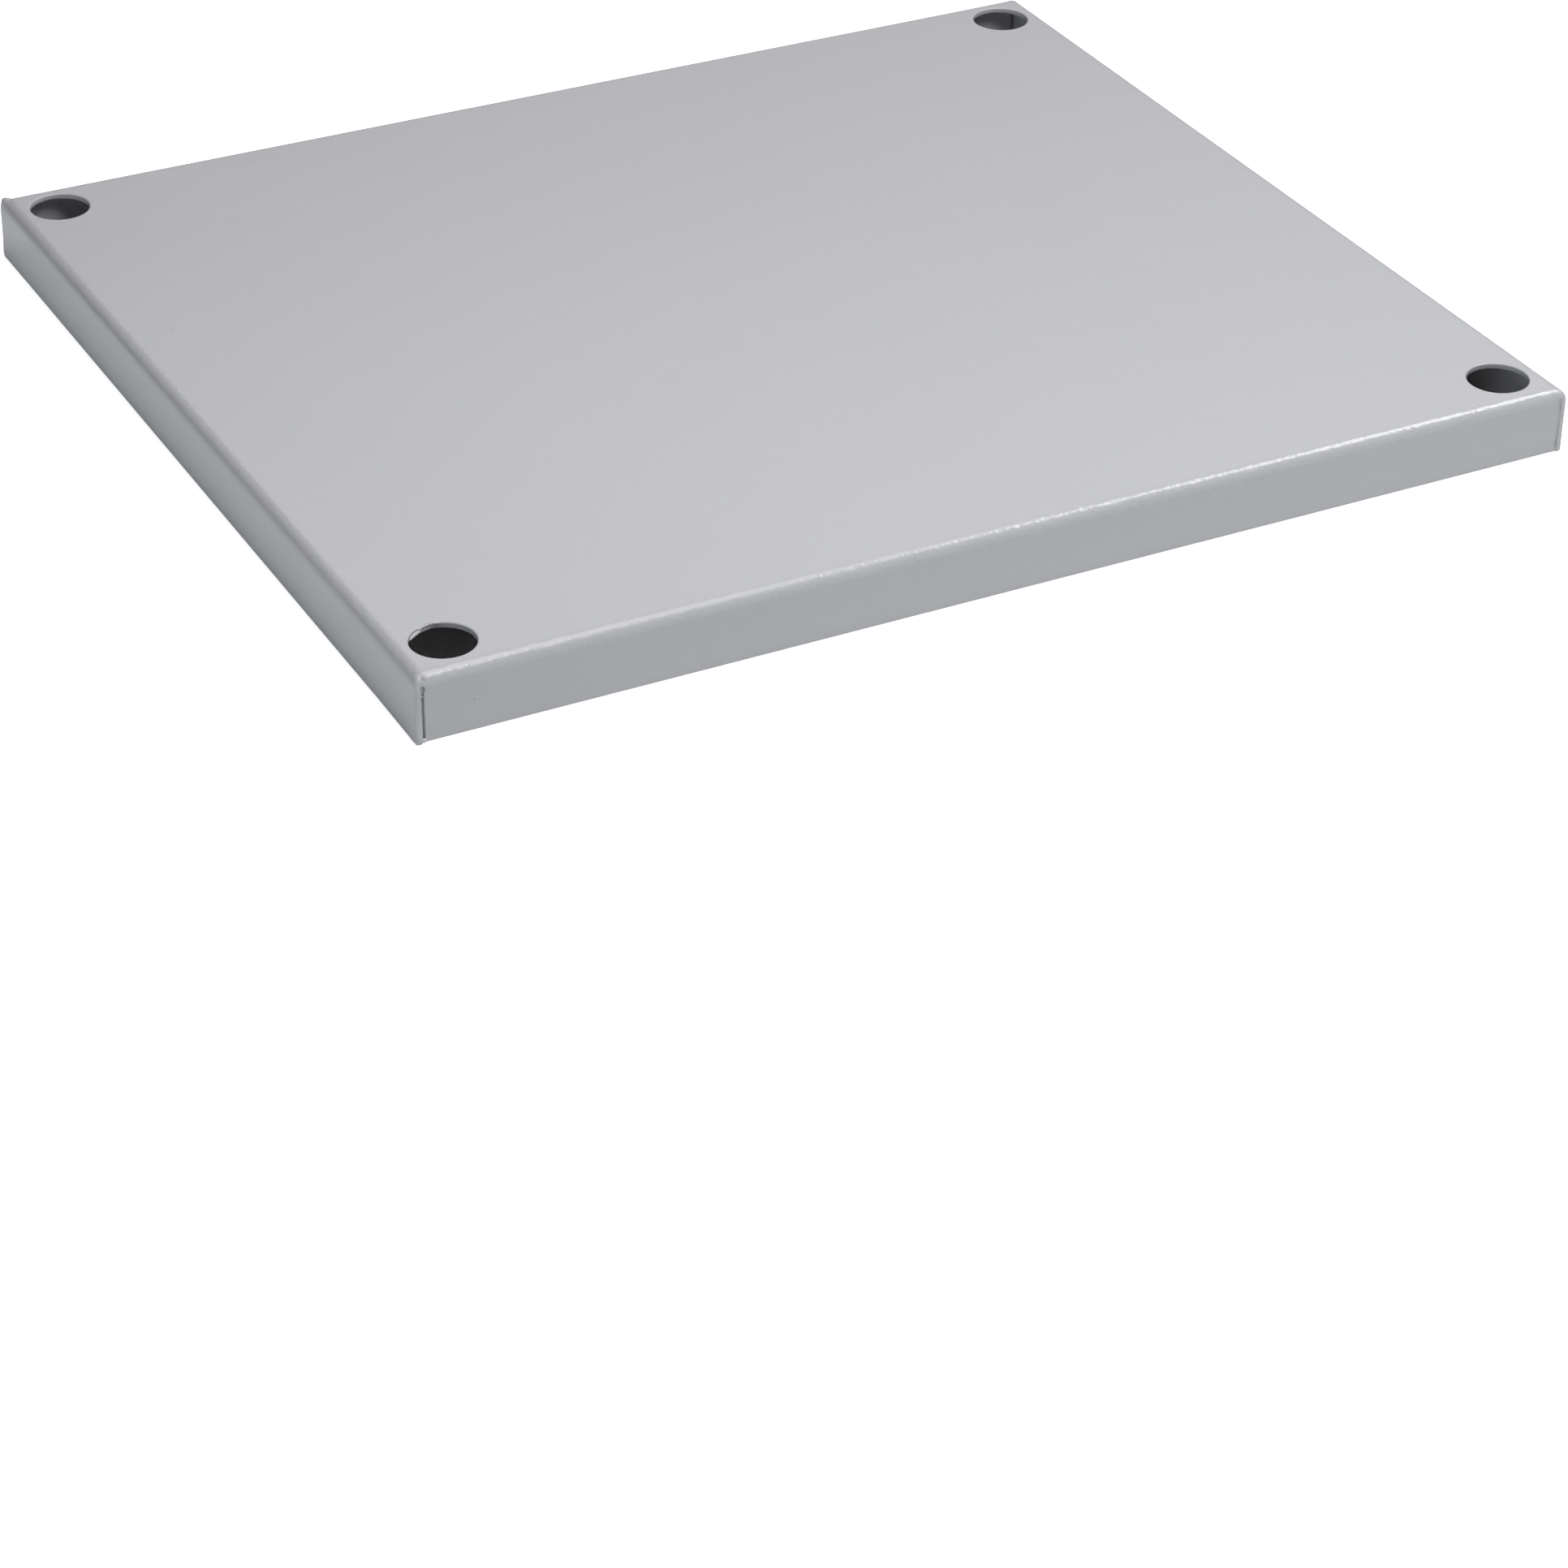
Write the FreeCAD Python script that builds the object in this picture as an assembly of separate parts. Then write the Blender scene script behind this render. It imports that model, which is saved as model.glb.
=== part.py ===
import FreeCAD, Part
import math
import os

# A cover plate folded from one sheet of steel, with a flange down each side and a hole in each corner.
# Millimetres, flat face up: the plate stands on the free edges of its flanges.
# The origin is the middle of its footprint, +X runs along the longer side and +Z points up.
# "Side" is a flange at the left or right, "end" one at the front or back.

# Overall size, over the outside of the sheet
plate_width = 400.0
plate_depth = 350.0
flange_height = 22.0

# Sheet and bends
sheet_thickness = 2.0
inner_bend_radius = 2.0

# Corner holes, placed from the outer faces of the flanges, with a softly rounded upper rim
hole_diameter = 20.0
hole_inset_x = 16.0
hole_inset_y = 16.0
hole_rim_radius = 0.4

# Corner seams: the side flanges run the full depth, and the front and back flanges stop short of them
seam_gap = 0.9

# Relief at the head of each seam: a punched round that bites past the gap and rises into the bend
relief_diameter = 2.4
relief_bite = 0.4
relief_rise = 0.7

# Free lower corners of the side flanges
flange_corner_radius = 1.2

# How far a cutting solid runs past the surface that it breaks through
cut_margin = 1.0

# How near two lengths count as equal, and two surfaces as one
length_tolerance = 1e-6
surface_tolerance = 1e-4

outer_bend_radius = inner_bend_radius + sheet_thickness
corners = [(-1, -1), (1, -1), (1, 1), (-1, 1)]

along_x = FreeCAD.Vector(1, 0, 0)
along_y = FreeCAD.Vector(0, 1, 0)
along_z = FreeCAD.Vector(0, 0, 1)


def closed_face(curves):
    """Flat face inside a closed run of lines and arcs."""
    return Part.Face(Part.Wire([curve.toShape() for curve in curves]))


def arch_face(across, half_span, height, bend_radius):
    """Upright face on z = 0 that spans one axis, with both upper corners rounded."""
    shoulder = half_span - bend_radius
    spring = height - bend_radius
    diagonal = bend_radius * math.sqrt(0.5)
    left = across * -1
    foot_left = left * half_span
    foot_right = across * half_span
    wall_left = foot_left + along_z * spring
    wall_right = foot_right + along_z * spring
    middle_left = left * (shoulder + diagonal) + along_z * (spring + diagonal)
    middle_right = across * (shoulder + diagonal) + along_z * (spring + diagonal)
    roof_left = left * shoulder + along_z * height
    roof_right = across * shoulder + along_z * height
    return closed_face([
        Part.LineSegment(foot_left, wall_left),
        Part.Arc(wall_left, middle_left, roof_left),
        Part.LineSegment(roof_left, roof_right),
        Part.Arc(roof_right, middle_right, wall_right),
        Part.LineSegment(wall_right, foot_right),
        Part.LineSegment(foot_right, foot_left),
    ])


def arch_block(across, span, run, height, bend_radius):
    """Solid arch, centred on the origin, that spans one axis and runs along the other."""
    along = along_y if across == along_x else along_x
    block = arch_face(across, span / 2, height, bend_radius).extrude(along * run)
    block.translate(along * (-run / 2))
    return block


def channel(across, span, run):
    """Sheet with a flange folded down at each end of its span."""
    outside = arch_block(across, span, run, flange_height, outer_bend_radius)
    inner_span = span - 2 * sheet_thickness
    inner_height = flange_height - sheet_thickness
    inside = arch_block(across, inner_span, run + 2 * cut_margin, inner_height, inner_bend_radius)
    return outside.cut(inside)


def under_bends(across, span, run):
    """Everything under the outer form of two opposite bends, past both ends of their run."""
    return arch_block(across, span, run + 2 * cut_margin, flange_height, outer_bend_radius)


def is_free_corner(edge):
    """True for a short edge through the sheet, at the foot of a flange's end."""
    on_foot = abs(edge.BoundBox.ZMax) < length_tolerance
    through_sheet = abs(edge.Length - sheet_thickness) < length_tolerance
    return on_foot and through_sheet


def side_flanges():
    """Left and right flanges at full depth and the top between them, mitred at the end bends."""
    sides = channel(along_x, plate_width, plate_depth)
    free_corners = [edge for edge in sides.Edges if is_free_corner(edge)]
    rounded = sides.makeFillet(flange_corner_radius, free_corners)
    return rounded.common(under_bends(along_y, plate_depth, plate_width))


def notch_face():
    """Upright outline of what an end flange lacks at the +X end: the seam and the relief above it."""
    outer_x = plate_width / 2 + cut_margin
    seam_x = plate_width / 2 - sheet_thickness - seam_gap
    foot_z = -cut_margin
    relief_radius = relief_diameter / 2
    relief_x = seam_x - relief_bite + relief_radius
    relief_z = flange_height - outer_bend_radius + relief_rise - relief_radius
    relief_head_z = relief_z + relief_radius
    meeting_drop = math.sqrt(relief_radius ** 2 - (relief_x - seam_x) ** 2)
    seam_foot = FreeCAD.Vector(seam_x, 0, foot_z)
    seam_head = FreeCAD.Vector(seam_x, 0, relief_z - meeting_drop)
    relief_side = FreeCAD.Vector(relief_x - relief_radius, 0, relief_z)
    relief_head = FreeCAD.Vector(relief_x, 0, relief_head_z)
    outer_head = FreeCAD.Vector(outer_x, 0, relief_head_z)
    outer_foot = FreeCAD.Vector(outer_x, 0, foot_z)
    return closed_face([
        Part.LineSegment(seam_foot, seam_head),
        Part.Arc(seam_head, relief_side, relief_head),
        Part.LineSegment(relief_head, outer_head),
        Part.LineSegment(outer_head, outer_foot),
        Part.LineSegment(outer_foot, seam_foot),
    ])


def seam_notch(side_x, side_y):
    """Cutting solid that takes the seam and its relief out of the end of one flange."""
    notch = notch_face().extrude(along_y * (outer_bend_radius + cut_margin))
    notch.translate(along_y * (plate_depth / 2 - outer_bend_radius))
    return mirrored_to(notch, side_x, side_y)


def mirrored_to(shape, side_x, side_y):
    """A shape made for the +X +Y corner, moved to the corner with the given signs."""
    centre = FreeCAD.Vector(0, 0, 0)
    if side_x < 0:
        shape = shape.mirror(centre, along_x)
    if side_y < 0:
        shape = shape.mirror(centre, along_y)
    return shape


def end_flanges():
    """Front and back flanges, mitred at the side bends and cut back at the seams."""
    ends = channel(along_y, plate_depth, plate_width)
    mitred = ends.common(under_bends(along_x, plate_width, plate_depth))
    return mitred.cut([seam_notch(side_x, side_y) for side_x, side_y in corners])


def corner_hole(side_x, side_y):
    """Cutting solid of one hole, flared at the top by the rounded rim."""
    radius = hole_diameter / 2
    rim_centre_r = radius + hole_rim_radius
    rim_centre_z = flange_height - hole_rim_radius
    diagonal = hole_rim_radius * math.sqrt(0.5)
    below = flange_height - sheet_thickness - cut_margin
    above = flange_height + cut_margin
    axis_foot = FreeCAD.Vector(0, 0, below)
    wall_foot = FreeCAD.Vector(radius, 0, below)
    wall_head = FreeCAD.Vector(radius, 0, rim_centre_z)
    rim_middle = FreeCAD.Vector(rim_centre_r - diagonal, 0, rim_centre_z + diagonal)
    rim_head = FreeCAD.Vector(rim_centre_r, 0, flange_height)
    flare_head = FreeCAD.Vector(rim_centre_r, 0, above)
    axis_head = FreeCAD.Vector(0, 0, above)
    profile = closed_face([
        Part.LineSegment(axis_foot, wall_foot),
        Part.LineSegment(wall_foot, wall_head),
        Part.Arc(wall_head, rim_middle, rim_head),
        Part.LineSegment(rim_head, flare_head),
        Part.LineSegment(flare_head, axis_head),
        Part.LineSegment(axis_head, axis_foot),
    ])
    cutter = profile.revolve(FreeCAD.Vector(0, 0, 0), along_z, 360)
    centre_x = side_x * (plate_width / 2 - hole_inset_x)
    centre_y = side_y * (plate_depth / 2 - hole_inset_y)
    cutter.translate(FreeCAD.Vector(centre_x, centre_y, 0))
    return cutter


def cover_plate():
    """The whole plate, one solid."""
    folded = side_flanges().fuse([end_flanges()], surface_tolerance).removeSplitter()
    return folded.cut([corner_hole(side_x, side_y) for side_x, side_y in corners])


os.makedirs("parts", exist_ok=True)
cover_plate().exportStep("parts/cover_plate.step")
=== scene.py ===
import math

import bmesh
import bpy
from mathutils import Matrix, Vector


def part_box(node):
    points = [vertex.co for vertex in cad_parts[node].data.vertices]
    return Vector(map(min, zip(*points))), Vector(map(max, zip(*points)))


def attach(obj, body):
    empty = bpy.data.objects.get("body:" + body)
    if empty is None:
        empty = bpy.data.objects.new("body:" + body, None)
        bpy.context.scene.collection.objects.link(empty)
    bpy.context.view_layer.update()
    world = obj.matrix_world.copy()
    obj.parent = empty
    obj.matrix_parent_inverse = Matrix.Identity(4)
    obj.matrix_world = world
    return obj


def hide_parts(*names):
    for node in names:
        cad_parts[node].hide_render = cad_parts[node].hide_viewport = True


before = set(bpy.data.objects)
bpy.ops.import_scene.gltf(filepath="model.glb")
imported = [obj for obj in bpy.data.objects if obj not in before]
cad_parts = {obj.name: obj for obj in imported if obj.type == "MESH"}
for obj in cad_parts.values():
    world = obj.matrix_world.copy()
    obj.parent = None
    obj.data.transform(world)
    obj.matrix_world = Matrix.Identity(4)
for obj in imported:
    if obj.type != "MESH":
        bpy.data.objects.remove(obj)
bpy.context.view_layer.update()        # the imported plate, which stays fixed

coverNode = "cover_plate"
coverLow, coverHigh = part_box(coverNode)

# all lengths are in metres
millimetre = 0.001
slack = 2e-5                        # places closer than this count as one
cutSlack = 1e-6                     # small, so that bisect keeps narrow strips
flatAngle = 0.001                   # in radians: faces that turn less than this are one flat face
squareOn, edgeOn = 0.9, 0.01        # share of a normal along an axis, for faces across it and along it


def activate(piece):
    if bpy.context.mode != "OBJECT":
        bpy.ops.object.mode_set(mode="OBJECT")
    bpy.ops.object.select_all(action="DESELECT")
    bpy.context.view_layer.objects.active = piece
    piece.select_set(True)


def openMesh(piece, kind="EDGE"):
    activate(piece)
    bpy.ops.object.mode_set(mode="EDIT")
    bpy.ops.mesh.select_mode(type=kind)
    bpy.ops.mesh.select_all(action="DESELECT")


def closeMesh():
    bpy.ops.object.mode_set(mode="OBJECT")


def pick(piece, kind, wanted):
    bpy.ops.mesh.select_mode(type=kind)
    bpy.ops.mesh.select_all(action="DESELECT")
    skin = bmesh.from_edit_mesh(piece.data)
    skin.normal_update()
    parts = {"VERT": skin.verts, "EDGE": skin.edges, "FACE": skin.faces}[kind]
    chosen = [part for part in parts if wanted(part)]
    for part in chosen:
        part.select_set(True)
    skin.select_flush_mode()
    bmesh.update_edit_mesh(piece.data)
    return len(chosen)


def applyModifier(piece, kind, name, **settings):
    activate(piece)
    modifier = piece.modifiers.new(name, kind)
    for setting, value in settings.items():
        setattr(modifier, setting, value)
    bpy.ops.object.modifier_apply(modifier=name)


def settle(piece):
    activate(piece)
    bpy.ops.object.transform_apply(location=True, rotation=True, scale=True)


def newPiece(name):
    piece = bpy.context.object
    piece.name = name
    piece.data.name = name
    settle(piece)
    return piece


def near(value, target, within=slack):
    return abs(value - target) < within


def roundEdges(radius, steps):
    bpy.ops.mesh.bevel(offset=radius, segments=steps, profile=0.5, affect="EDGES", clamp_overlap=False)


def bisectAt(place, direction, clear=False):
    bpy.ops.mesh.bisect(plane_co=place, plane_no=direction, clear_inner=clear, threshold=cutSlack)


coverSheet = {
    "sheetThickness": 0.002,
    "bendRadius": 0.004,
    "bendSteps": 16,
    "cornerRound": 0.0008,          # upright corner of the side flanges
    "cornerSteps": 4,
    "footRound": 0.0003,            # lower edge of the flanges
    "footSteps": 3,
    "footAngle": 1.2,               # in radians: only sharper edges are rounded
    "seamWidth": 0.0009,
    "seamBite": 0.00003,            # how far the seam cuts into the side flange
    "seamFlare": 0.0003,            # rounding of the edges beside the seam
    "flareSteps": 3,
    "seamBefore": 0.0008,           # the seam cutter starts this far before the flange
    "seamBelow": 0.003,             # and this far below its foot
    "reliefRadius": 0.0012,
    "reliefOffset": 0.0001,
    "reliefHeight": 0.0175,
    "reliefSides": 44,
    "holeRadius": 0.010,
    "holeInset": 0.016,
    "holeSides": 128,
    "holeCutter": (0.008, 0.001),   # its depth, and how far its middle lies under the top
    "rimRound": 0.0005,
    "rimSteps": 5,
    "rimAngle": 1.0,
    "flangeLoops": (0.0008, 0.0017, 0.0028, 0.0042, 0.0060, 0.0085, 0.0120),
    "edgeLoops": (0.0004, 0.0010, 0.0018, 0.0028, 0.0038, 0.0050, 0.0275),
    "smoothAngle": 35,
    "flatWeight": 50,
}


def openBox(name, low, high, radius, steps):
    bpy.ops.object.select_all(action="DESELECT")
    bpy.ops.mesh.primitive_cube_add(size=1, location=(low + high) / 2, scale=high - low)
    box = newPiece(name)
    openMesh(box, "FACE")
    pick(box, "FACE", lambda face: face.normal.z < -squareOn)
    bpy.ops.mesh.delete(type="ONLY_FACE")
    pick(box, "EDGE", lambda edge: all(near(v.co.z, high.z) for v in edge.verts))
    roundEdges(radius, steps)
    closeMesh()
    return box


# the sheet is an outer and an inner skin, joined round the foot
def foldedBox(sheet):
    wall = sheet["sheetThickness"]
    cover = openBox("folded_cover", coverLow, coverHigh, sheet["bendRadius"], sheet["bendSteps"])
    lining = openBox("inner skin", coverLow + Vector((wall, wall, 0)), coverHigh - Vector((wall, wall, wall)),
                     sheet["bendRadius"] - wall, sheet["bendSteps"])
    openMesh(lining, "FACE")
    bpy.ops.mesh.select_all(action="SELECT")
    bpy.ops.mesh.flip_normals()
    closeMesh()
    activate(cover)
    lining.select_set(True)
    bpy.ops.object.join()
    openMesh(cover)
    pick(cover, "EDGE", lambda edge: edge.is_boundary)
    bpy.ops.mesh.bridge_edge_loops()
    bpy.ops.mesh.select_all(action="SELECT")
    bpy.ops.mesh.normals_make_consistent(inside=False)
    closeMesh()
    return cover


def onOuterCorner(point, sheet):
    fromSide = coverHigh.x - abs(point.x)
    fromFront = coverHigh.y - abs(point.y)
    if not near(fromSide, fromFront):
        return False
    if point.z <= coverHigh.z - sheet["bendRadius"] + cutSlack:
        return near(fromSide, 0)
    radius = sheet["bendRadius"]
    reach = math.hypot(radius - fromSide, point.z - (coverHigh.z - radius))
    return near(reach, radius, 2 * slack)


def cornerEdge(edge, sheet):
    first, second = (v.co for v in edge.verts)
    if first.x * second.x < 0 or first.y * second.y < 0:
        return False
    flatHeight = coverHigh.z - slack / 2
    return all(onOuterCorner(point, sheet) and point.z < flatHeight for point in (first, second))


def sharpEdge(edge, least):
    return edge.is_manifold and edge.calc_face_angle(0) > least


def roundCorners(cover, sheet):
    openMesh(cover)
    pick(cover, "EDGE", lambda edge: cornerEdge(edge, sheet))
    roundEdges(sheet["cornerRound"], sheet["cornerSteps"])
    pick(cover, "EDGE", lambda edge: sharpEdge(edge, sheet["footAngle"])
         and all(near(v.co.z, coverLow.z) for v in edge.verts))
    roundEdges(sheet["footRound"], sheet["footSteps"])
    closeMesh()


# loops near the edges keep the flat faces flat where the coat is built up later
def addLoops(cover, sheet):
    openMesh(cover, "FACE")
    for height in sheet["flangeLoops"]:
        bpy.ops.mesh.select_all(action="SELECT")
        bisectAt((0, 0, height), (0, 0, 1))
    for inset in sheet["edgeLoops"]:
        for side in (-1, 1):
            pick(cover, "FACE", lambda face: abs(face.normal.x) < edgeOn)
            bisectAt((side * (coverHigh.x - inset), 0, 0), (1, 0, 0))
            pick(cover, "FACE", lambda face: abs(face.normal.y) < edgeOn)
            bisectAt((0, side * (coverHigh.y - inset), 0), (0, 1, 0))
    closeMesh()


# one cutter becomes four, one for each corner
def mirrored(cutter):
    copies = [cutter]
    for turn in ((-1, 1), (1, -1), (-1, -1)):
        copy = cutter.copy()
        copy.data = cutter.data.copy()
        bpy.context.scene.collection.objects.link(copy)
        copy.scale = (turn[0], turn[1], 1)
        settle(copy)
        openMesh(copy, "FACE")
        bpy.ops.mesh.select_all(action="SELECT")
        bpy.ops.mesh.normals_make_consistent(inside=False)
        closeMesh()
        copies.append(copy)
    activate(cutter)
    for copy in copies:
        copy.select_set(True)
    bpy.ops.object.join()
    return cutter


def cutWith(cover, cutter, name):
    applyModifier(cover, "BOOLEAN", name, operation="DIFFERENCE", object=cutter, solver="EXACT")
    bpy.data.objects.remove(cutter, do_unlink=True)


# a cut leaves its points in a new order each time, so they are put in order before they merge
def mergeSlivers(cover, sliver=4e-6, aside=(-3.1, -2.3, 1.7)):
    openMesh(cover)
    bpy.ops.mesh.select_all(action="SELECT")
    bpy.context.scene.cursor.location = aside       # from here no two points are equally far
    bpy.ops.mesh.sort_elements(type="CURSOR_DISTANCE", elements={"VERT", "EDGE", "FACE"})
    bpy.context.scene.cursor.location = (0, 0, 0)
    bpy.ops.mesh.remove_doubles(threshold=sliver)
    bpy.ops.mesh.select_all(action="SELECT")
    bpy.ops.mesh.dissolve_degenerate(threshold=sliver)
    closeMesh()


def atHole(point, sheet):
    inset, radius = sheet["holeInset"], sheet["holeRadius"]
    away = math.hypot(coverHigh.x - inset - abs(point.x), coverHigh.y - inset - abs(point.y))
    return near(away, radius, 1.5 * slack)


def cutHoles(cover, sheet):
    centreX = coverLow.x + sheet["holeInset"]
    centreY = coverLow.y + sheet["holeInset"]
    depth, under = sheet["holeCutter"]
    bpy.ops.object.select_all(action="DESELECT")
    bpy.ops.mesh.primitive_cylinder_add(vertices=sheet["holeSides"], radius=sheet["holeRadius"], depth=depth,
                                        location=(centreX, centreY, coverHigh.z - under))
    cutWith(cover, mirrored(newPiece("hole cutter")), "corner holes")
    openMesh(cover)
    pick(cover, "EDGE", lambda edge: sharpEdge(edge, sheet["rimAngle"])
         and all(atHole(v.co, sheet) for v in edge.verts))
    roundEdges(sheet["rimRound"], sheet["rimSteps"])
    closeMesh()


# the outline of seam and relief, pushed back in steps that leave a rounding on both sides
def cutSeams(cover, sheet):
    flare, steps = sheet["seamFlare"], sheet["flareSteps"]
    innerSide = coverLow.x + sheet["sheetThickness"] - sheet["seamBite"]
    left = innerSide - flare
    right = innerSide + sheet["seamWidth"] + flare
    centre = innerSide + sheet["reliefOffset"]
    radius = sheet["reliefRadius"] + flare
    joint = sheet["reliefHeight"] - math.sqrt(radius ** 2 - (right - centre) ** 2)
    bpy.ops.object.select_all(action="DESELECT")
    bpy.ops.mesh.primitive_circle_add(vertices=sheet["reliefSides"], radius=radius, fill_type="NGON",
                                      location=(centre, coverLow.y, sheet["reliefHeight"]),
                                      rotation=(-math.pi / 2, 0, 0))
    seam = newPiece("seam cutter")
    openMesh(seam)
    bpy.ops.mesh.select_all(action="SELECT")
    bisectAt((left, 0, 0), (1, 0, 0), clear=True)
    bpy.ops.mesh.select_all(action="SELECT")
    bisectAt((0, 0, joint), (0, 0, 1), clear=True)
    pick(seam, "EDGE", lambda edge: all(near(v.co.z, joint) for v in edge.verts))
    bpy.ops.mesh.extrude_region_move(TRANSFORM_OT_translate={"value": (0, 0, -sheet["seamBelow"] - joint)})
    bpy.ops.mesh.select_all(action="SELECT")
    bpy.ops.mesh.dissolve_limited(angle_limit=flatAngle)
    if pick(seam, "VERT", lambda v: left + slack < v.co.x < innerSide - slack):
        bpy.ops.mesh.dissolve_verts()
    pick(seam, "FACE", lambda face: True)
    bpy.ops.mesh.extrude_region_move(TRANSFORM_OT_translate={"value": (0, -sheet["seamBefore"], 0)})
    bpy.ops.mesh.select_all(action="SELECT")
    bpy.ops.mesh.normals_make_consistent(inside=False)
    pick(seam, "FACE", lambda face: face.normal.y > squareOn)
    turnedBefore = 0.0
    for step in range(1, steps + 1):
        turned = math.pi / 2 * step / steps
        across = flare * (math.sin(turned) - math.sin(turnedBefore))
        along = flare * (math.cos(turnedBefore) - math.cos(turned))
        bpy.ops.mesh.inset(thickness=across, depth=along)
        turnedBefore = turned
    bpy.ops.mesh.extrude_region_move(TRANSFORM_OT_translate={"value": (0, sheet["sheetThickness"], 0)})
    for height in sheet["flangeLoops"]:       # so that the seam edges follow the tips when these are pulled out
        bpy.ops.mesh.select_all(action="SELECT")
        bisectAt((0, 0, height), (0, 0, 1))
    bpy.ops.mesh.select_all(action="SELECT")
    bpy.ops.mesh.normals_make_consistent(inside=False)
    closeMesh()
    cutWith(cover, mirrored(seam), "corner seams")
    mergeSlivers(cover)


# where a list has four entries, they are for front left, front right, back left and back right
cornerSigns = ((-1, -1), (1, -1), (-1, 1), (1, 1))
coatBuildUp = {
    "tipHeight": 0.0012,
    "tipDepth": 0.0010,
    "tipReach": 0.0085,
    "tipSwell": ((0.00033, 0.0013), (-0.0003, 0.0005),          # how far each lower tip bulges out,
                 (0, 0.0004), (0, 0.0003)),                     # to its side and to its front
    "tipWiden": (1.12, 1.0, 1.06, 1.0),
    "widenReach": 1.3,                                          # times the reach of the tip
    "tipRound": (0.0004, 0.0001, 0.0002, 0.0001),               # how far its foot is drawn back
    "tipNarrow": (0.8, 0.97, 0.92, 0.95),                       # share of its width left at the foot
    "hornReach": 0.0022,                                        # the raised points of the top corners
    "summitReach": 0.0007,
    "horns": ((0.0036, 0.0006, 0.0019, (0, 0.30, 0.10)),        # in from side, front and top, then the
              (0.0033, 0.0005, 0.0020, (0, 0.20, 0.06)),        # push in millimetres
              (0.0017, 0.0011, 0.0011, (0.35, 0.35, 0.95)),
              (0.0038, 0.0010, 0.0009, (0, 0.15, 0.25))),
    "facedReach": 0.014,                                        # side of the corner area in triangles
    "slimDrops": ((0.00134, 0.0083, (0.00075, 0.00045, 0.0079)),        # coat deep in an open seam: depth, height, size
                  (0.00092, 0.0149, (0.00075, 0.00055, 0.00045)),
                  (0.00120, 0.0170, (0.00140, 0.00050, 0.00160))),
    "fullDrops": ((0.00064, 0.0052, (0.00095, 0.00045, 0.0051)),        # coat that nearly fills a seam
                  (0.00064, 0.0118, (0.00095, 0.00045, 0.0056)),
                  (0.00070, 0.0175, (0.00160, 0.00050, 0.00160))),
    "fullSeams": (False, True, False, True),
    "fullShift": 0.00012,
    "webDrop": (0.0009, 0.00070, (0.00110, 0.00072, 0.00068)),  # coat across the foot of a seam
    "webPull": 0.65,                                            # how much of the swell the web drop follows
    "cornerBead": ((0.0037, 0.00157, 0.00180), (0.00140, 0.00124, 0.00124)),      # in from the corner, then size
    "holeBead": ((133, 0.00175, 0.00040), (128, 0.00168, 0.00055),      # degrees round the hole, depth and
                 (122, 0.00160, 0.00065), (116, 0.00155, 0.00065),      # thickness
                 (110, 0.00150, 0.00055), (105, 0.00145, 0.00042),
                 (101, 0.00145, 0.00052), (96, 0.00135, 0.00060),
                 (91, 0.00115, 0.00060), (86, 0.00095, 0.00058),
                 (81, 0.00080, 0.00050), (106, 0.00075, 0.00040),
                 (100, 0.00050, 0.00052), (94, 0.00028, 0.00060),
                 (88, 0.00010, 0.00064), (82, 0.00005, 0.00064),
                 (77, 0.00020, 0.00052)),
    "beadLength": 0.0010,
    "beadSpan": (72, 138),
    "beadWidth": 0.0013,
    "beadBelow": 0.001,
    "beadBlend": 3,
    "flowVoxel": 0.00014,
    "flowFactor": 0.5,
    "flowPasses": 4,
}


def pull(cover, chosen, by, reach):
    pick(cover, "VERT", chosen)
    bpy.ops.transform.translate(value=by, use_proportional_edit=True, use_proportional_connected=True,
                                proportional_edit_falloff="SMOOTH", proportional_size=reach)


def widen(across, reach, middle):
    bpy.ops.transform.resize(value=(across, 1, 1), use_proportional_edit=True, use_proportional_connected=True,
                             proportional_edit_falloff="SMOOTH", proportional_size=reach,
                             center_override=(middle, 0, 0))


def swellTips(cover, sheet, coat):
    wall = sheet["sheetThickness"]
    openMesh(cover, "VERT")
    for (sideX, sideY), swell, wider, roundBy, narrower in zip(cornerSigns, coat["tipSwell"], coat["tipWiden"],
                                                               coat["tipRound"], coat["tipNarrow"]):
        def atTip(v):
            return (v.co.x * sideX > coverHigh.x - wall - slack / 2 and v.co.z < coat["tipHeight"]
                    and v.co.y * sideY > coverHigh.y - coat["tipDepth"])

        def underTip(v):
            return atTip(v) and v.co.z < sheet["footRound"] + slack / 2

        middle = sideX * (coverHigh.x - wall / 2 + swell[0])
        pull(cover, atTip, (sideX * swell[0], sideY * swell[1], 0), coat["tipReach"])
        widen(wider, coat["tipReach"] * coat["widenReach"], middle)
        pull(cover, underTip, (0, -sideY * roundBy, 0), coat["tipHeight"])
        widen(narrower, coat["tipHeight"], middle)
    closeMesh()


def raiseHorns(cover, coat):
    openMesh(cover, "VERT")
    for (sideX, sideY), (alongX, alongY, below, push) in zip(cornerSigns, coat["horns"]):
        summit = Vector((sideX * (coverHigh.x - alongX), sideY * (coverHigh.y - alongY), coverHigh.z - below))
        outward = Vector((sideX * push[0], sideY * push[1], push[2])) * millimetre
        pull(cover, lambda v: (v.co - summit).length < coat["summitReach"], outward, coat["hornReach"])
    closeMesh()


# triangles at the corners, so that the built-up coat joins them cleanly
def faceCorners(cover, coat):
    openMesh(cover, "FACE")
    reach = coat["facedReach"]
    pick(cover, "FACE", lambda face: abs(face.calc_center_median().x) > coverHigh.x - reach
         and abs(face.calc_center_median().y) > coverHigh.y - reach)
    bpy.ops.mesh.quads_convert_to_tris(quad_method="BEAUTY", ngon_method="BEAUTY")
    closeMesh()


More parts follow.
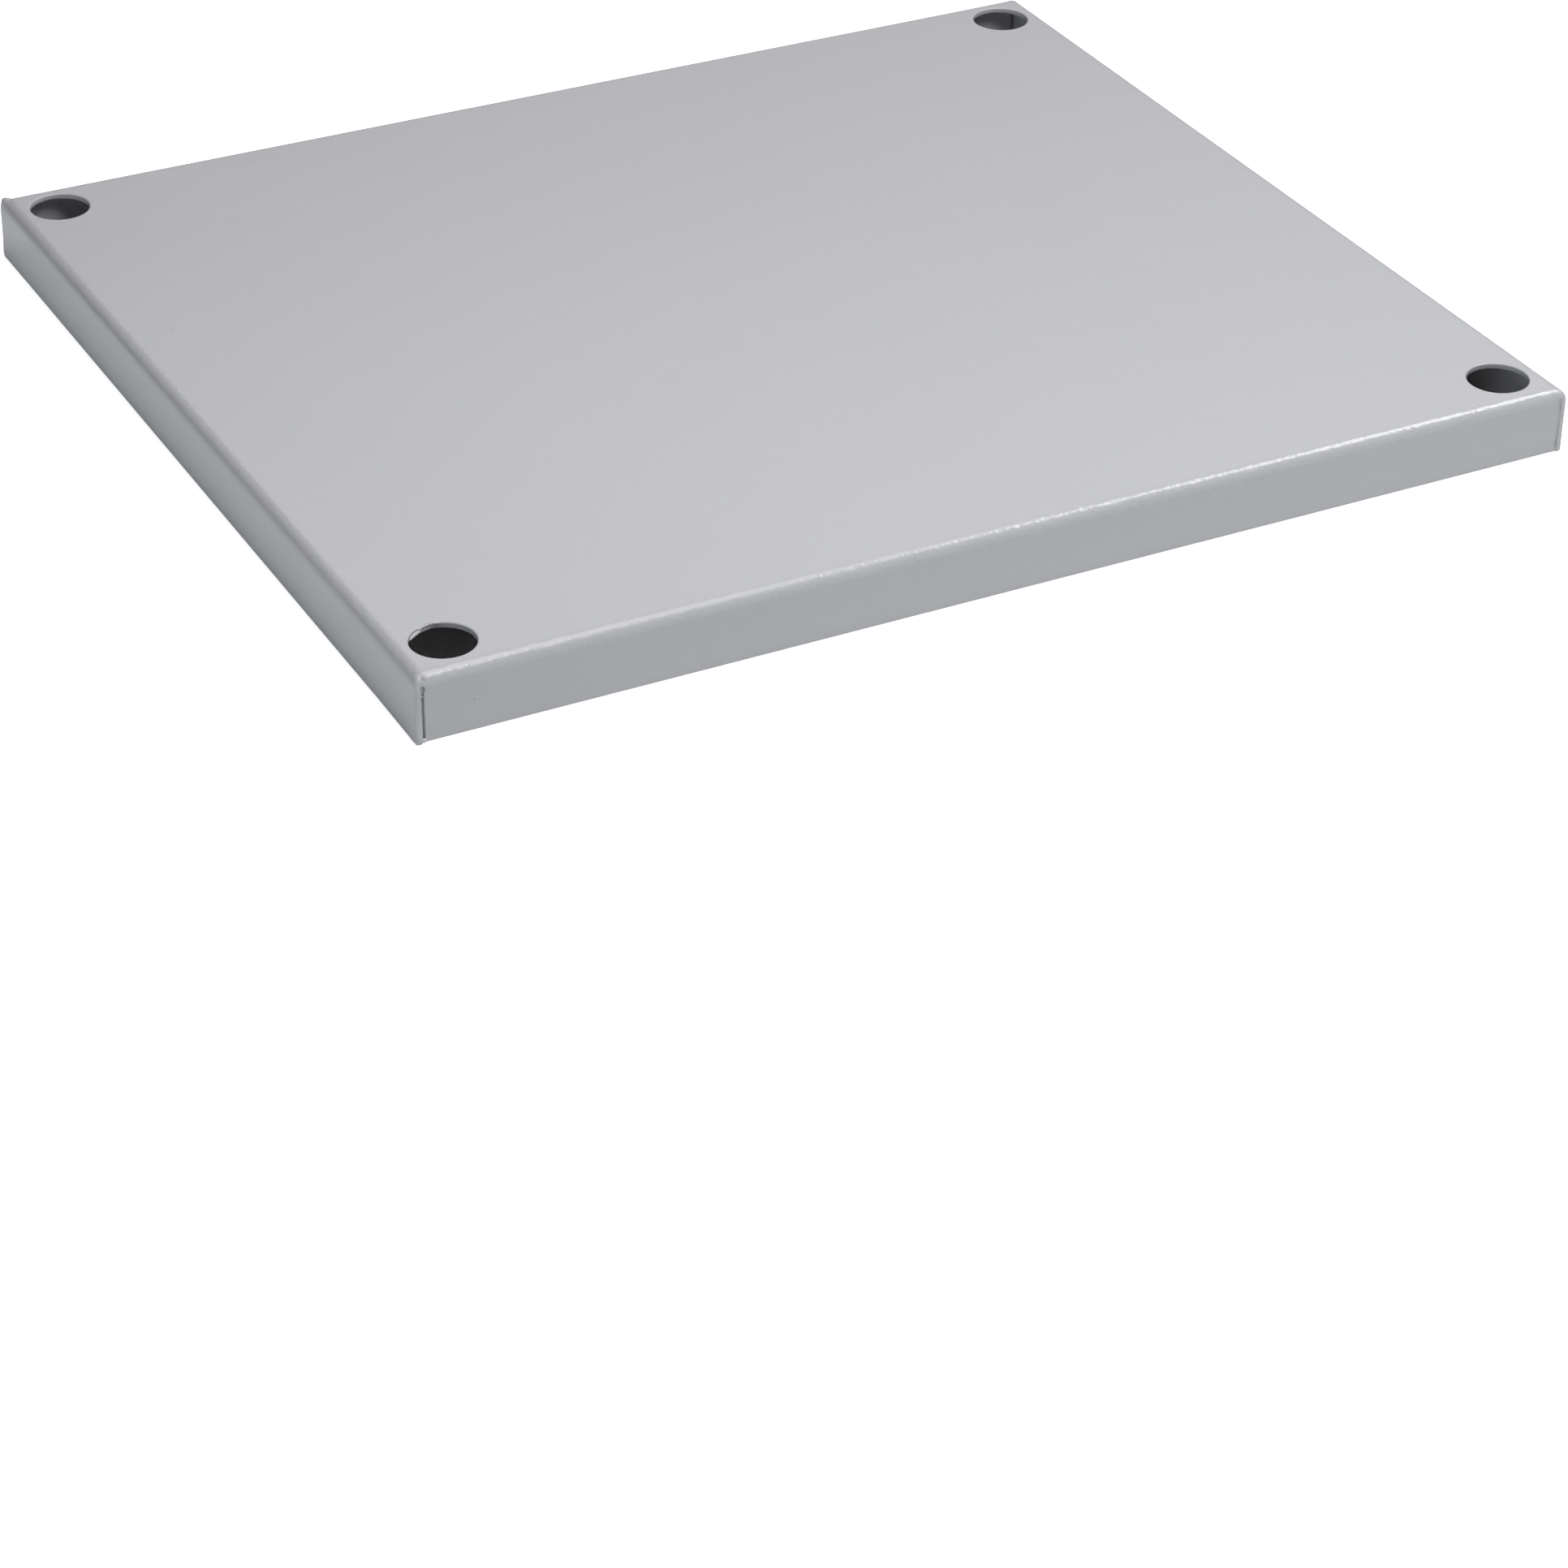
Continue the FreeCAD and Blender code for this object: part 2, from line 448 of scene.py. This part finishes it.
def drop(name, place, size, turned=0.0, sides=20, rings=12):
    bpy.ops.object.select_all(action="DESELECT")
    bpy.ops.mesh.primitive_uv_sphere_add(segments=sides, ring_count=rings, radius=1, location=place, scale=size,
                                         rotation=(0, 0, turned))
    return newPiece(name)


# drops that touch become one skin, as wet coat does
def flowed(drops, coat):
    activate(drops[0])
    for other in drops[1:]:
        other.select_set(True)
    if len(drops) > 1:
        bpy.ops.object.join()
    applyModifier(drops[0], "REMESH", "one drop", mode="VOXEL", voxel_size=coat["flowVoxel"])
    applyModifier(drops[0], "SMOOTH", "flowed", factor=coat["flowFactor"], iterations=coat["flowPasses"])
    return drops[0]


def fillSeam(corner, full, webOut, sheet, coat):
    sideX, sideY = corner
    middle = coverHigh.x - sheet["sheetThickness"] - sheet["seamWidth"] / 2 - (coat["fullShift"] if full else 0)
    pieces = [drop("seam coat", (sideX * middle, sideY * (coverHigh.y - depth), height), size)
              for depth, height, size in coat["fullDrops" if full else "slimDrops"]]
    depth, height, size = coat["webDrop"]
    pieces.append(drop("seam coat", (sideX * middle, sideY * (coverHigh.y - depth + webOut), height), size))
    return flowed(pieces, coat)


def beadHole(centre, sheet, coat):
    drops = []
    for degrees, depth, thick in coat["holeBead"]:
        turned = math.radians(degrees)
        place = centre + Vector((math.cos(turned), math.sin(turned), 0)) * sheet["holeRadius"] - Vector((0, 0, depth))
        drops.append(drop("bead drop", place, (thick, coat["beadLength"], thick), turned))
    return flowed(drops, coat)


def onBead(point, centre, sheet, coat):
    away = point - centre
    turned = math.degrees(math.atan2(away.y, away.x))
    first, last = coat["beadSpan"]
    return (first < turned < last and abs(math.hypot(away.x, away.y) - sheet["holeRadius"]) < coat["beadWidth"]
            and away.z > -sheet["sheetThickness"] - coat["beadBelow"] and abs(away.z) > slack)


def buildUpCoat(cover, sheet, coat):
    centre = Vector((coverLow.x + sheet["holeInset"], coverLow.y + sheet["holeInset"], coverHigh.z))
    bead = beadHole(centre, sheet, coat)
    fillings = [fillSeam(corner, full, swell[1] * coat["webPull"], sheet, coat)
                for corner, full, swell in zip(cornerSigns, coat["fullSeams"], coat["tipSwell"])]
    inward, size = coat["cornerBead"]
    place = (coverLow.x + inward[0], coverLow.y + inward[1], coverHigh.z - inward[2])
    fillings.append(flowed([drop("corner bead", place, size)], coat))
    activate(bead)
    for filling in fillings:
        filling.select_set(True)
    bpy.ops.object.join()
    applyModifier(cover, "BOOLEAN", "built-up coat", operation="UNION", object=bead, solver="EXACT")
    bpy.data.objects.remove(bead, do_unlink=True)
    openMesh(cover, "VERT")
    pick(cover, "VERT", lambda v: onBead(v.co, centre, sheet, coat))
    bpy.ops.mesh.vertices_smooth(factor=coat["flowFactor"], repeat=coat["beadBlend"])
    closeMesh()


def finishSurface(cover, sheet):
    activate(cover)
    bpy.ops.object.shade_smooth_by_angle(angle=math.radians(sheet["smoothAngle"]))
    applyModifier(cover, "WEIGHTED_NORMAL", "flat faces stay flat", mode="FACE_AREA", weight=sheet["flatWeight"],
                  keep_sharp=True)


cover = foldedBox(coverSheet)
roundCorners(cover, coverSheet)
addLoops(cover, coverSheet)
cutHoles(cover, coverSheet)
cutSeams(cover, coverSheet)
print("sheet folded", len(cover.data.vertices), "points")
swellTips(cover, coverSheet, coatBuildUp)
raiseHorns(cover, coatBuildUp)
faceCorners(cover, coatBuildUp)
buildUpCoat(cover, coverSheet, coatBuildUp)
finishSurface(cover, coverSheet)
print("coat built up at the corners", len(cover.data.vertices), "points")


class Value:
    def __init__(self, socket):
        self.socket = socket

    def sum(self, kind, other):
        return shader.node("ShaderNodeMath", {"operation": kind}, {0: self, 1: other})

    def __add__(self, other):
        return self.sum("ADD", other)

    __radd__ = __add__

    def __mul__(self, other):
        return self.sum("MULTIPLY", other)

    __rmul__ = __mul__

    def __sub__(self, other):
        return self.sum("SUBTRACT", other)

    def __rsub__(self, other):
        return shader.node("ShaderNodeMath", {"operation": "SUBTRACT"}, {0: other, 1: self})

    def larger(self, other):
        return self.sum("MAXIMUM", other)

    def above(self, limit):
        return self.sum("GREATER_THAN", limit)

    def mask(self, steepness):      # 0 below nought, rising to 1
        return shader.node("ShaderNodeMath", {"operation": "MULTIPLY", "use_clamp": True}, {0: self, 1: steepness})

    def along(self, axis):
        return shader.node("ShaderNodeSeparateXYZ", inputs={"Vector": self}, output=axis)


class Shader:
    def open(self, name):
        material = bpy.data.materials.new(name)
        material.use_nodes = True
        self.start(material.node_tree)
        return material

    def start(self, tree):
        self.tree = tree
        tree.nodes.clear()

    def node(self, kind, settings=None, inputs=None, output=0):
        made = self.tree.nodes.new(kind)
        for setting, value in (settings or {}).items():
            setattr(made, setting, value)
        for name, value in (inputs or {}).items():
            if isinstance(value, Value):
                self.tree.links.new(value.socket, made.inputs[name])
            else:
                made.inputs[name].default_value = value
        return Value(made.outputs[output]) if len(made.outputs) else made

    def blend(self, share, first, second):
        return self.node("ShaderNodeMix", {"data_type": "RGBA"}, {0: share, 6: first, 7: second}, 2)


shader = Shader()

coatLook = {
    "colour": (0.575, 0.578, 0.598, 1),
    "shade": (0.560, 0.564, 0.588, 1),
    "shadeScale": 14.0,
    "speckColour": (0.22, 0.22, 0.23, 1),
    "speckStrength": 0.5,
    "speckSize": 0.0006,
    "specks": ((-0.1117, 0.1638, 0.022), (0.1176, 0.0262, 0.022), (-0.1828, 0.0576, 0.022),
               (-0.1815, -0.175, 0.0103), (-0.2, -0.125, 0.019)),
    "roughness": 0.28,
    "refraction": 1.58,
    "peelScale": 620,
    "peelShare": 0.8,
    "peelDepth": 0.00008,
    "swellScale": 90.0,
    "swellShare": 0.6,
    "bendPeel": 2.6,           # how much deeper the peel is on the folds
    "bendReach": 0.005,        # the folds lie within this distance of the edges
    "bendEdge": 1000,
}


def greyCoat(look):
    coat = shader.open("light grey powder coat")
    place = shader.node("ShaderNodeTexCoord", output="Object")
    cloud = shader.node("ShaderNodeTexNoise", inputs={"Vector": place, "Scale": look["shadeScale"], "Detail": 2.0})
    tint = shader.blend(cloud, look["colour"], look["shade"])
    specks = 0.0
    for speck in look["specks"]:
        away = shader.node("ShaderNodeVectorMath", {"operation": "DISTANCE"}, {0: place, 1: speck}, "Value")
        specks = specks + shader.node("ShaderNodeMapRange", {"interpolation_type": "SMOOTHSTEP"},
                                      {"Value": away, "From Min": look["speckSize"], "From Max": 0.0})
    tint = shader.blend(specks * look["speckStrength"], tint, look["speckColour"])
    peel = shader.node("ShaderNodeTexNoise", inputs={"Vector": place, "Scale": look["peelScale"], "Detail": 1.5,
                                                     "Roughness": 0.45})
    swell = shader.node("ShaderNodeTexNoise", inputs={"Vector": place, "Scale": look["swellScale"], "Detail": 1.0})
    distances = shader.node("ShaderNodeVectorMath", {"operation": "ABSOLUTE"}, {0: place})
    pastSide = distances.along("X") - (coverHigh.x - look["bendReach"])
    pastFront = distances.along("Y") - (coverHigh.y - look["bendReach"])
    pastTop = place.along("Z") - (coverHigh.z - look["bendReach"])
    onFold = pastSide.larger(pastFront).mask(look["bendEdge"]) * pastTop.mask(look["bendEdge"])
    level = (look["peelShare"] + look["swellShare"]) / 2       # taken off, so that no step shows beside the folds
    height = peel * look["peelShare"] + swell * look["swellShare"] - level
    height = height * (1.0 + onFold * (look["bendPeel"] - 1.0))
    bump = shader.node("ShaderNodeBump", inputs={"Strength": 1.0, "Distance": look["peelDepth"], "Height": height})
    surface = shader.node("ShaderNodeBsdfPrincipled", inputs={"Base Color": tint, "Roughness": look["roughness"],
                                                             "IOR": look["refraction"], "Normal": bump})
    shader.node("ShaderNodeOutputMaterial", inputs={"Surface": surface})
    return coat


greyCoatFinish = greyCoat(coatLook)
cover.data.materials.clear()
cover.data.materials.append(greyCoatFinish)
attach(cover, "root")
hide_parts(coverNode)
print("coat applied")


view = {
    "place": (-0.623927, -1.187195, 0.692662),
    "right": (0.8856175, -0.4641610, 0.0153711),
    "up": (0.2399998, 0.4857527, 0.8405025),
    "back": (-0.3975950, -0.7406746, 0.5415896),
    "lens": 103.96,
    "sensor": 36.0,
    "clip": (0.01, 100),
}


def aimCamera(view):
    cameraData = bpy.data.cameras.new("photo view")
    cameraData.lens = view["lens"]
    cameraData.sensor_width = view["sensor"]
    cameraData.clip_start, cameraData.clip_end = view["clip"]
    camera = bpy.data.objects.new("photo view", cameraData)
    bpy.context.scene.collection.objects.link(camera)
    turn = Matrix([Vector(view[name]) for name in ("right", "up", "back")]).transposed()
    camera.matrix_world = Matrix.Translation(view["place"]) @ turn.to_4x4()
    bpy.context.scene.camera = camera


aimCamera(view)


studio = {
    "floorSide": 3.4,
    "floorSquares": 8,
    "floorDrop": 0.0001,       # how far the floor lies under the foot
    "floorColour": (0.79, 0.80, 0.80, 1),
    "glowColour": (0.93, 1.0, 1.0, 1),
    "glowSeen": 0.85,          # lifts the floor to white for the camera
    "glowMirrored": 0.28,
    "glowOverlap": 0.001,      # the glow starts this far inside the plate's outline
    "air": (0.003, 0.003, 0.003, 1),
    "lamps": {                 # place, size, power and colour
        "key light": ((1.10, -0.38, 1.44), (0.60, 0.50), 12.5, (1, 1, 1)),
        "top light": ((0.0, -0.50, 1.10), (0.40, 0.40), 6.0, (1, 1, 1)),
        "high panel": ((0.20, 0.0, 1.10), (0.40, 0.50), 2.3, (1, 1, 1)),
        "back light": ((0.9, 1.5, 1.30), (1.60, 0.70), 3.8, (1, 1, 1)),
        "low back light": ((1.2, 1.9, 0.60), (1.80, 0.70), 0.9, (1, 1, 1)),
        "left light": ((-2.0, -0.3, 0.60), (1.80, 0.80), 6.4, (0.96, 0.98, 1.07)),
        "front panel": ((0.5, -2.6, 0.45), (3.20, 1.20), 2.8, (0.93, 1.0, 1.07)),
        "low fill": ((0.0, 0.0, -1.5), (0.50, 0.50), 0.3, (1, 1, 1)),       # lights the hollow from below
    },
}


def paleFloor(studio):
    bpy.ops.object.select_all(action="DESELECT")
    bpy.ops.mesh.primitive_grid_add(x_subdivisions=studio["floorSquares"], y_subdivisions=studio["floorSquares"],
                                    size=studio["floorSide"], location=(0, 0, coverLow.z - studio["floorDrop"]))
    floor = newPiece("floor")
    paper = shader.open("pale floor")
    place = shader.node("ShaderNodeTexCoord", output="Object")
    distances = shader.node("ShaderNodeVectorMath", {"operation": "ABSOLUTE"}, {0: place})
    beside = distances.along("X").above(coverHigh.x - studio["glowOverlap"])
    before = distances.along("Y").above(coverHigh.y - studio["glowOverlap"])
    seen = shader.node("ShaderNodeLightPath", output="Is Camera Ray")
    glossy = shader.node("ShaderNodeLightPath", output="Is Glossy Ray")
    passing = shader.node("ShaderNodeLightPath", output="Is Transmission Ray")
    strength = beside.larger(before) * (seen * studio["glowSeen"] + glossy.larger(passing) * studio["glowMirrored"])
    matt = shader.node("ShaderNodeBsdfDiffuse", inputs={"Color": studio["floorColour"]})
    tone = shader.blend(seen, studio["glowColour"], (1, 1, 1, 1))
    glow = shader.node("ShaderNodeEmission", inputs={"Color": tone, "Strength": strength})
    lit = shader.node("ShaderNodeAddShader", inputs={0: matt, 1: glow})
    through = shader.node("ShaderNodeBsdfTransparent", inputs={"Color": (1, 1, 1, 1)})
    behind = shader.node("ShaderNodeNewGeometry", output="Backfacing")
    shadow = shader.node("ShaderNodeLightPath", output="Is Shadow Ray")       # lets the low fill pass
    mixed = shader.node("ShaderNodeMixShader", inputs={0: behind.larger(shadow), 1: lit, 2: through})
    shader.node("ShaderNodeOutputMaterial", inputs={"Surface": mixed})
    floor.data.materials.append(paper)


def softSky(studio):
    world = bpy.data.worlds.new("studio air")
    bpy.context.scene.world = world
    world.use_nodes = True
    shader.start(world.node_tree)
    seen = shader.node("ShaderNodeLightPath", output="Is Camera Ray")
    air = shader.node("ShaderNodeBackground", inputs={"Color": studio["air"], "Strength": 1.0})
    white = shader.node("ShaderNodeBackground", inputs={"Color": (1, 1, 1, 1), "Strength": 1.0})
    mixed = shader.node("ShaderNodeMixShader", inputs={0: seen, 1: air, 2: white})
    shader.node("ShaderNodeOutputWorld", inputs={"Surface": mixed})


def softLamp(name, place, size, power, colour):
    lampData = bpy.data.lights.new(name, "AREA")
    lampData.shape = "RECTANGLE"
    lampData.size, lampData.size_y = size
    lampData.energy = power
    lampData.color = colour
    lamp = bpy.data.objects.new(name, lampData)
    bpy.context.scene.collection.objects.link(lamp)
    lamp.location = place
    lamp.rotation_mode = "QUATERNION"
    lamp.rotation_quaternion = Vector(place).to_track_quat("Z", "Y")      # aimed at the middle of the plate


paleFloor(studio)
softSky(studio)
for lampName, lampValues in studio["lamps"].items():
    softLamp(lampName, *lampValues)
bpy.context.scene.view_settings.view_transform = "Standard"
print("stage and light set")
